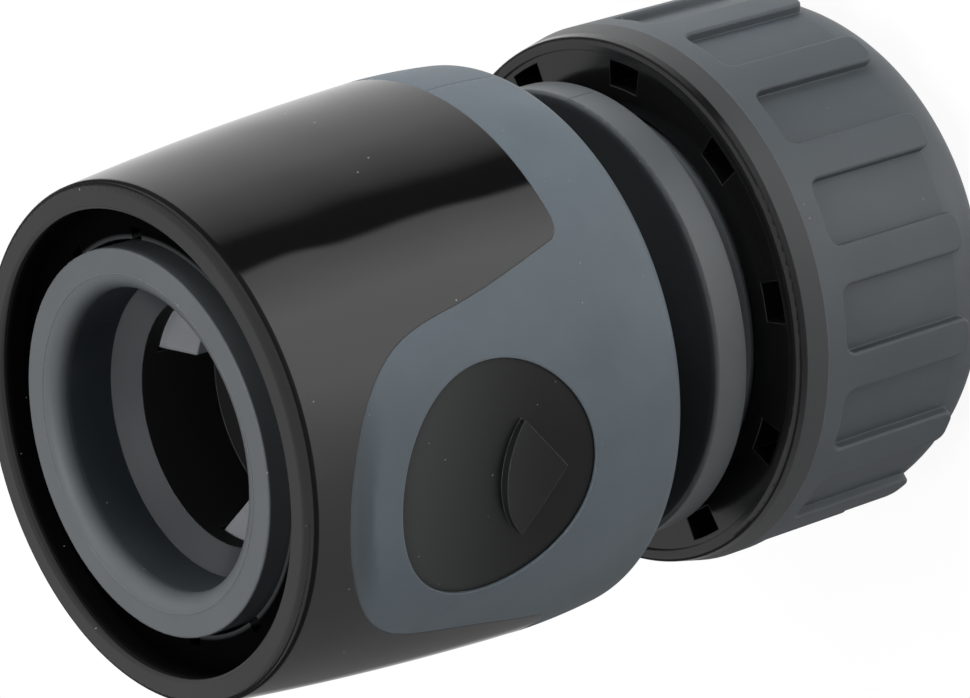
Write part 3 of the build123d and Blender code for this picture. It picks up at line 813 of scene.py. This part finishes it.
grip_mesh = bmesh.new()
band_shade_layer = grip_mesh.verts.layers.float.new("thin_band")
skin = [grip_mesh.verts.new(rolled(along, up, rubber_radius(along, up))) for along, up in cover]
under = [grip_mesh.verts.new(rolled(along, up, sleeve_surface(up) - grip_thickness)) for along, up in cover]
for vertex, spot in zip(skin, cover):
    vertex[band_shade_layer] = band_shade_share(*spot)
edge_uses = {}
for a, b, c in skin_faces:
    grip_mesh.faces.new((skin[a], skin[b], skin[c]))
    grip_mesh.faces.new((under[c], under[b], under[a]))
    for edge in ((a, b), (b, c), (c, a)):
        edge_uses[frozenset(edge)] = edge_uses.get(frozenset(edge), []) + [edge]
open_sides = [use[0] for use in edge_uses.values() if len(use) == 1]
rear_rims = []
for a, b in open_sides:
    (along_a, up_a), (along_b, up_b) = cover[a], cover[b]
    seam_gap = min(abs(along_a - left_edge), abs(along_a - right_edge))
    on_seam = abs(along_a - along_b) < 1e-7 and seam_gap < 1e-7
    if max(up_a, up_b) < skin_rear + 1e-7:
        rear_rims.append((a, b))
    elif not on_seam:
        grip_mesh.faces.new((skin[b], skin[a], under[a], under[b]))
rear_section = []
for part in range(1, rear_round_parts + 1):
    angle = round_start - (pi / 2 + round_start) * part / rear_round_parts
    rear_section.append(
        (round_centre + grip_rear_round * cos(angle), round_centre_up + grip_rear_round * sin(angle)))
rear_section += [
    (grip_bore_radius + rear_chamfer, sleeve_rear), (grip_bore_radius, sleeve_rear + rear_chamfer),
    (grip_bore_radius, sleeve_rear + grip_rear_wrap)]
rims = {}
for a, b in rear_rims:
    for end in (a, b):
        if end not in rims:
            along = cover[end][0]
            wrapped = [grip_mesh.verts.new(rolled(along, up, radius)) for radius, up in rear_section]
            rims[end] = [skin[end], *wrapped, under[end]]
    for first_a, next_a, first_b, next_b in zip(rims[a], rims[a][1:], rims[b], rims[b][1:]):
        grip_mesh.faces.new((first_b, first_a, next_a, next_b))
bmesh.ops.remove_doubles(grip_mesh, verts=grip_mesh.verts, dist=0.002 * mm)
loose = [vertex for vertex in grip_mesh.verts if not vertex.link_faces]
bmesh.ops.delete(grip_mesh, geom=loose, context="VERTS")
bmesh.ops.recalc_face_normals(grip_mesh, faces=grip_mesh.faces)
soft_mesh = bpy.data.meshes.new("soft_sleeve_grip")
grip_mesh.to_mesh(soft_mesh)
grip_mesh.free()
soft_mesh.polygons.foreach_set("use_smooth", [True] * len(soft_mesh.polygons))
soft_mesh.set_sharp_from_angle(angle=radians(38))
soft_grip = bpy.data.objects.new("soft_sleeve_grip", soft_mesh)
bpy.context.scene.collection.objects.link(soft_grip)


def rubber(name, colour, rough, shade_band=None):
    """Dry slate-grey moulded rubber: cloudy, dusty, pale along its corners from wear and painted highlight,
    and painted darker as shade where a shade attribute is named.
    """
    skin = Finish(bpy.data.materials.new(name))
    shade = mottled(skin, colour, 0.07, 9 * mm)
    if shade_band:
        # Painted shade: the band named by the attribute is mixed towards a darker slate.
        painted_shade_share = skin.node("ShaderNodeAttribute", {"attribute_name": shade_band}, out="Fac") * 0.55
        shade = skin.mix(painted_shade_share, shade, (0.012, 0.015, 0.018))
    corners = eased_edges(skin, 0.12 * mm)
    # Pale corner lines: partly wear, partly painted highlight.
    shade = skin.mix(edge_wear_and_highlight(skin, corners) * 0.36, dusted(skin, shade, 1.7 * mm), dust_and_highlight_colour)
    face = skin.node(
        "ShaderNodeBsdfPrincipled", {},
        {"Base Color": shade, "Roughness": uneven(skin, rough, 0.06, 6 * mm),
         "Normal": moulded_face(skin, corners, 0.10 * mm, 0.006 * mm)})
    skin.node("ShaderNodeOutputMaterial", {}, {"Surface": face})
    return skin


sleeve_rubber = rubber("sleeve_rubber", slate_colour, 0.52, shade_band="thin_band")
soft_mesh.materials.append(sleeve_rubber.owner)
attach(soft_grip, "sleeve")
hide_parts("sleeve_grip")

# The clamp ring is a split ring of satin black nylon inside the nut. Its fingers close on the hose
# as the nut is screwed on.
satin_nylon = Finish(bpy.data.materials.new("satin_nylon"))
nylon_face = satin_nylon.node(
    "ShaderNodeBsdfPrincipled", {},
    {"Base Color": mottled(satin_nylon, (0.016, 0.016, 0.017), 0.10, 4 * mm),
     "Roughness": uneven(satin_nylon, 0.45, 0.06, 3 * mm),
     "Normal": moulded_face(satin_nylon, eased_edges(satin_nylon, 0.10 * mm), 0.12 * mm, 0.005 * mm)})
satin_nylon.node("ShaderNodeOutputMaterial", {}, {"Surface": nylon_face})
finish_node("clamp_ring", satin_nylon)

# The core of the nut is black nylon, cored out from the front. Its rim and front band are satin;
# the web and windows that face the flange are polished.
band_rear = 18.7 * mm
band_front = 20.5 * mm
band_inner_radius = 18.5 * mm
band_edge = 0.15 * mm
nut_bore_radius = 14.95 * mm
female_thread_span = (12.3 * mm, 20.2 * mm)
nut_black = Finish(bpy.data.materials.new("nut_black"))
nut_place = nut_black.node("ShaderNodeTexCoord", out="Object")
nut_out = out_of_axis(nut_black, nut_place)
nut_up = nut_black.axis(nut_place, "Z")
on_band = (nut_out > band_inner_radius) * (nut_up > band_rear)
on_band *= 1 - nut_black.step(nut_up, band_front, band_front + band_edge)
nut_edges = eased_edges(nut_black, 0.12 * mm)
nut_shade = nut_black.mix(on_band, (0.0055, 0.0055, 0.0057), (0.034, 0.036, 0.037))
# Pale corner lines: partly wear, partly painted highlight.
nut_face = nut_black.node(
    "ShaderNodeBsdfPrincipled", {},
    {"Base Color": nut_black.mix(edge_wear_and_highlight(nut_black, nut_edges) * 0.1, nut_shade, dust_and_highlight_colour),
     "Roughness": nut_black.mix(on_band, (0.16, 0.16, 0.16), (0.42, 0.42, 0.42)),
     "Normal": moulded_face(nut_black, nut_edges, 0.10 * mm, 0.003 * mm)})
nut_black.node("ShaderNodeOutputMaterial", {}, {"Surface": nut_face})
finish_node("nut_core", nut_black)
female_thread = thread("female_thread", nut_bore_radius, -thread_ridge, *female_thread_span)
female_thread.data.materials.append(nut_black.owner)
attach(female_thread, "nut")

# The nut's grip is the same slate-grey rubber, moulded over the core of the nut, with sixteen raised
# ribs joined by a band in front. It is darker and greyer than the grip of the sleeve.
finish_node("nut_grip", rubber("nut_rubber", (0.043, 0.052, 0.060), 0.50))
